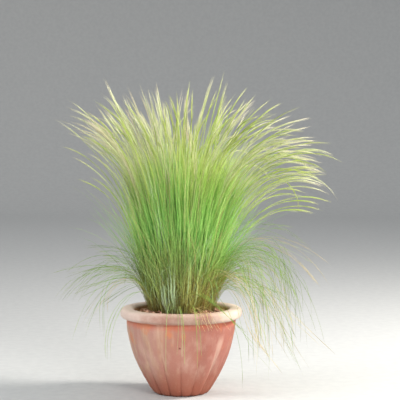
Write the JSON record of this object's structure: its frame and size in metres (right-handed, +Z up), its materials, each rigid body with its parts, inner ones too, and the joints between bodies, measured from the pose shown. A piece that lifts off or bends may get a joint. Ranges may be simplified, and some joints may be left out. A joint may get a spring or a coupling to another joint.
{
  "type": "potted ornamental grass",
  "caption": "Clump of fine-leaved feather grass with arching straw-coloured plumes, growing in a fluted terracotta pot with a thick rolled rim, soil and bark litter",
  "frame": {"origin": "centre of the pot's flat base, on the surface it stands on", "axes": "+Z up along the pot's axis; +X towards the side on which the plumes arch furthest; the picture looks along +Y"},
  "size_m": [0.8187, 0.8175, 0.8816],
  "materials": {
    "terracotta": "matte fired clay with a pale lime bloom",
    "potting_soil": "dark crumbly soil",
    "bark_litter": "dry bark chips and litter",
    "green_leaf": "hair-fine green leaves",
    "straw_plume": "feathery straw-coloured flower heads on green stems",
    "silver_green_leaf": "thin silver-green outer leaves"
  },
  "bodies": {
    "root": {"arching_blades_back_1": "silver_green_leaf", "arching_blades_back_2": "silver_green_leaf", "arching_blades_left_1": "silver_green_leaf", "arching_blades_left_2": "silver_green_leaf", "arching_blades_left_3": "silver_green_leaf", "arching_blades_right_1": "silver_green_leaf", "arching_blades_right_2": "silver_green_leaf", "arching_blades_right_3": "silver_green_leaf", "arching_blades_right_4": "silver_green_leaf", "bark_mulch": "bark_litter", "flower_plume_01": "straw_plume", "flower_plume_02": "straw_plume", "flower_plume_03": "straw_plume", "flower_plume_04": "straw_plume", "flower_plume_05": "straw_plume", "flower_plume_06": "straw_plume", "flower_plume_07": "straw_plume", "flower_plume_08": "straw_plume", "flower_plume_09": "straw_plume", "flower_plume_10": "straw_plume", "flower_plume_11": "straw_plume", "flower_plume_12": "straw_plume", "flower_plume_13": "straw_plume", "flower_plume_14": "straw_plume", "flower_plume_15": "straw_plume", "flower_plume_16": "straw_plume", "flower_plume_17": "straw_plume", "flower_plume_18": "straw_plume", "flower_plume_19": "straw_plume", "flower_plume_20": "straw_plume", "flower_plume_21": "straw_plume", "leaf_tuft_01": "green_leaf", "leaf_tuft_02": "green_leaf", "leaf_tuft_03": "green_leaf", "leaf_tuft_04": "green_leaf", "leaf_tuft_05": "green_leaf", "leaf_tuft_06": "green_leaf", "leaf_tuft_07": "green_leaf", "leaf_tuft_08": "green_leaf", "leaf_tuft_09": "green_leaf", "leaf_tuft_10": "green_leaf", "leaf_tuft_11": "green_leaf", "leaf_tuft_12": "green_leaf", "leaf_tuft_13": "green_leaf", "leaf_tuft_14": "green_leaf", "leaf_tuft_15": "green_leaf", "leaf_tuft_16": "green_leaf", "leaf_tuft_17": "green_leaf", "leaf_tuft_18": "green_leaf", "leaf_tuft_19": "green_leaf", "leaf_tuft_20": "green_leaf", "leaf_tuft_21": "green_leaf", "leaf_tuft_22": "green_leaf", "pot": "terracotta", "rim_blades_front_1": "silver_green_leaf", "rim_blades_front_2": "silver_green_leaf", "soil": "potting_soil"}
  },
  "joints": []
}
